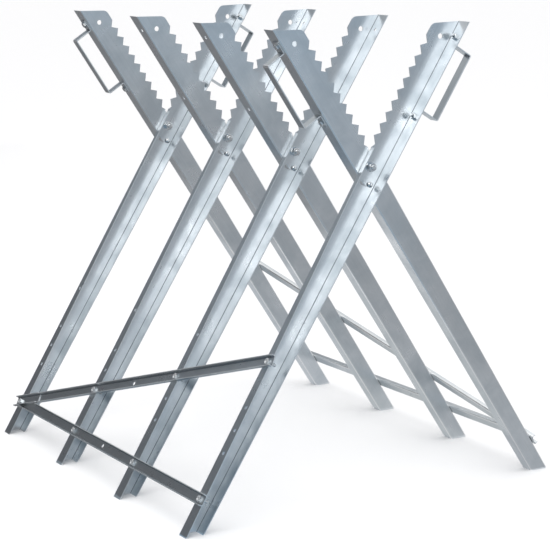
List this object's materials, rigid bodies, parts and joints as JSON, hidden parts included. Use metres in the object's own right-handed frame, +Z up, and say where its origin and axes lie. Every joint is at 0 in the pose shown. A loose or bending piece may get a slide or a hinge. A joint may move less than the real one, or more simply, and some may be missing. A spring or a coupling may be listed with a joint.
{
  "type": "folding log sawhorse",
  "caption": "Folding log sawhorse of crossed sheet-steel legs with toothed inner edges, tied by crossbars and hinged at their crossings.",
  "frame": {"origin": "on the floor, under the middle of the open sawhorse, halfway between the second and third pairs of legs", "axes": "+Z up; +Y along the line of pivots, from the fourth pair of legs to the first; +X towards the feet of the rear frame"},
  "size_m": [0.732, 0.8214, 0.7999],
  "materials": {
    "leg_sheet": "zinc-galvanised sheet with a bluish satin sheen",
    "crossbar_sheet": "zinc-galvanised sheet, a little duller than the legs",
    "handle_strip": "zinc-galvanised flat strip, satin",
    "fastener_zinc": "bright zinc plating"
  },
  "bodies": {
    "front_frame": {"front_leg_1": "leg_sheet", "front_leg_2": "leg_sheet", "front_leg_3": "leg_sheet", "front_leg_4": "leg_sheet", "front_bar_level": "crossbar_sheet", "front_bar_diagonal": "crossbar_sheet", "front_handle_1": "handle_strip", "front_handle_4": "handle_strip", "pivot_bolts": "fastener_zinc", "pivot_washers_front": "fastener_zinc", "pivot_washers_back": "fastener_zinc", "pivot_nuts": "fastener_zinc", "front_bar_bolts": "fastener_zinc", "front_bar_nuts": "fastener_zinc", "front_handle_bolts": "fastener_zinc", "front_handle_nuts": "fastener_zinc"},
    "rear_frame": {"rear_leg_1": "leg_sheet", "rear_leg_2": "leg_sheet", "rear_leg_3": "leg_sheet", "rear_leg_4": "leg_sheet", "rear_bar_level": "crossbar_sheet", "rear_bar_diagonal": "crossbar_sheet", "rear_handle_1": "handle_strip", "rear_handle_4": "handle_strip", "rear_bar_bolts": "fastener_zinc", "rear_bar_nuts": "fastener_zinc", "rear_handle_bolts": "fastener_zinc", "rear_handle_nuts": "fastener_zinc", "stop_pins": "fastener_zinc"}
  },
  "joints": [
    {"name": "fold", "type": "hinge", "parent": "front_frame", "child": "rear_frame", "pos_m": [0, 0, 0.569], "axis": [0, 1, 0], "range_deg": [0, 34]}
  ]
}
